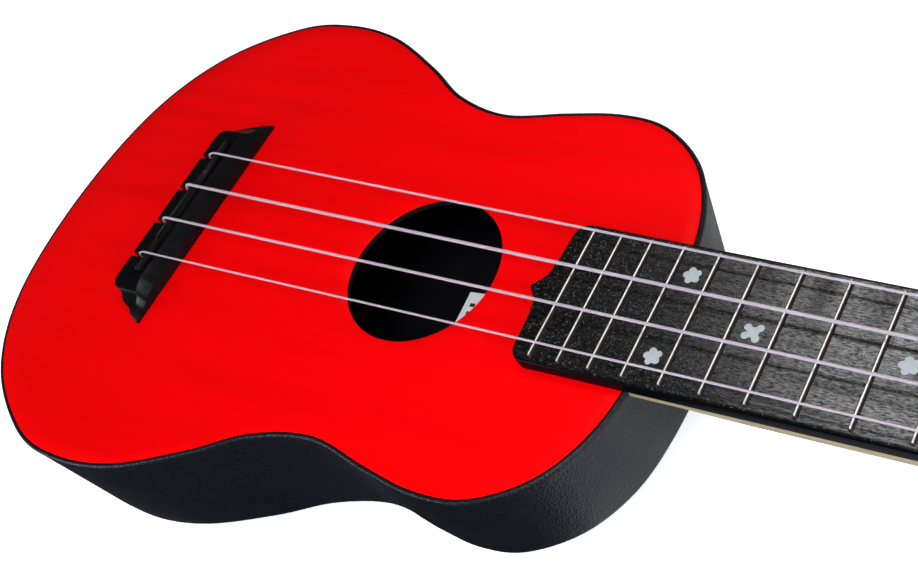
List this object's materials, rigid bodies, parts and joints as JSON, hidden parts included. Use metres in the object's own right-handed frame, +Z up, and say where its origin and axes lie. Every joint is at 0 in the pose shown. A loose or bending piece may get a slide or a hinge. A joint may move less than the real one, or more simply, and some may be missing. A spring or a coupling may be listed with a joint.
{
  "type": "soprano ukulele",
  "caption": "Small waisted travel lute with a flat stained top on a moulded arched tub, round soundhole, fretted neck, slotted bridge and geared tuners.",
  "frame": {"origin": "on the floor plane under the middle of the bounding box, with the instrument lying on the flat of its back", "axes": "+X along the neck from the tail to the headstock, +Y towards the bass side (re-entrant string), +Z up out of the soundboard"},
  "size_m": [0.5328, 0.1834, 0.0771],
  "materials": {
    "black_plastic": "matt, leather-grained moulding",
    "board_plastic": "satin, with a moulded wood grain",
    "button_plastic": "gloss",
    "red_stain": "satin lacquer over red stain",
    "bare_wood": "unfinished",
    "pale_wood": "open-pored, unfinished",
    "paper": "matt print",
    "black_bridge": "semi-gloss moulding",
    "marker_plastic": "satin",
    "clear_nylon": "smooth monofilament",
    "nickel": "bright plating"
  },
  "bodies": {
    "instrument": {"body_shell": "black_plastic", "soundboard": "red_stain", "neck_block": "bare_wood", "brace_upper": "bare_wood", "brace_lower": "bare_wood", "bridge_plate": "bare_wood", "label": "paper", "bridge": "black_bridge", "saddle": "black_bridge", "neck": "pale_wood", "fingerboard": "board_plastic", "nut": "black_bridge", "fret_01": "nickel", "fret_02": "nickel", "fret_03": "nickel", "fret_04": "nickel", "fret_05": "nickel", "fret_06": "nickel", "fret_07": "nickel", "fret_08": "nickel", "fret_09": "nickel", "fret_10": "nickel", "fret_11": "nickel", "fret_12": "nickel", "fret_13": "nickel", "fret_14": "nickel", "fret_15": "nickel", "marker_05": "marker_plastic", "marker_07": "marker_plastic", "marker_10": "marker_plastic", "marker_12_bass": "marker_plastic", "marker_12_treble": "marker_plastic", "string_g": "clear_nylon", "string_c": "clear_nylon", "string_e": "clear_nylon", "string_a": "clear_nylon", "tuner_plate_g": "nickel", "bushing_g": "nickel", "tuner_plate_c": "nickel", "bushing_c": "nickel", "tuner_plate_e": "nickel", "bushing_e": "nickel", "tuner_plate_a": "nickel", "bushing_a": "nickel"},
    "worm_g": {"worm_shaft_g": "nickel", "button_g": "button_plastic"},
    "post_g": {"string_post_g": "nickel", "drive_gear_g": "nickel"},
    "worm_c": {"worm_shaft_c": "nickel", "button_c": "button_plastic"},
    "post_c": {"string_post_c": "nickel", "drive_gear_c": "nickel"},
    "worm_e": {"worm_shaft_e": "nickel", "button_e": "button_plastic"},
    "post_e": {"string_post_e": "nickel", "drive_gear_e": "nickel"},
    "worm_a": {"worm_shaft_a": "nickel", "button_a": "button_plastic"},
    "post_a": {"string_post_a": "nickel", "drive_gear_a": "nickel"}
  },
  "joints": [
    {"name": "worm_turn_g", "type": "hinge", "parent": "instrument", "child": "worm_g", "pos_m": [0.19158, 0.0185, 0.04004], "axis": [0, 1, 0], "continuous": true},
    {"name": "post_turn_g", "type": "hinge", "parent": "instrument", "child": "post_g", "pos_m": [0.18916, 0.0185, 0.05895], "axis": [0.2079, 0, 0.9781], "continuous": true},
    {"name": "worm_turn_c", "type": "hinge", "parent": "instrument", "child": "worm_c", "pos_m": [0.22484, 0.0185, 0.03297], "axis": [0, 1, 0], "continuous": true},
    {"name": "post_turn_c", "type": "hinge", "parent": "instrument", "child": "post_c", "pos_m": [0.22242, 0.0185, 0.05188], "axis": [0.2079, 0, 0.9781], "continuous": true},
    {"name": "worm_turn_e", "type": "hinge", "parent": "instrument", "child": "worm_e", "pos_m": [0.22484, -0.0185, 0.03297], "axis": [0, 1, 0], "continuous": true},
    {"name": "post_turn_e", "type": "hinge", "parent": "instrument", "child": "post_e", "pos_m": [0.22242, -0.0185, 0.05188], "axis": [0.2079, 0, 0.9781], "continuous": true},
    {"name": "worm_turn_a", "type": "hinge", "parent": "instrument", "child": "worm_a", "pos_m": [0.19158, -0.0185, 0.04004], "axis": [0, 1, 0], "continuous": true},
    {"name": "post_turn_a", "type": "hinge", "parent": "instrument", "child": "post_a", "pos_m": [0.18916, -0.0185, 0.05895], "axis": [0.2079, 0, 0.9781], "continuous": true}
  ],
  "couplings": [
    {"joint": "post_turn_g", "follows": "worm_turn_g", "ratio": -0.071429},
    {"joint": "post_turn_c", "follows": "worm_turn_c", "ratio": -0.071429},
    {"joint": "post_turn_e", "follows": "worm_turn_e", "ratio": -0.071429},
    {"joint": "post_turn_a", "follows": "worm_turn_a", "ratio": -0.071429}
  ]
}
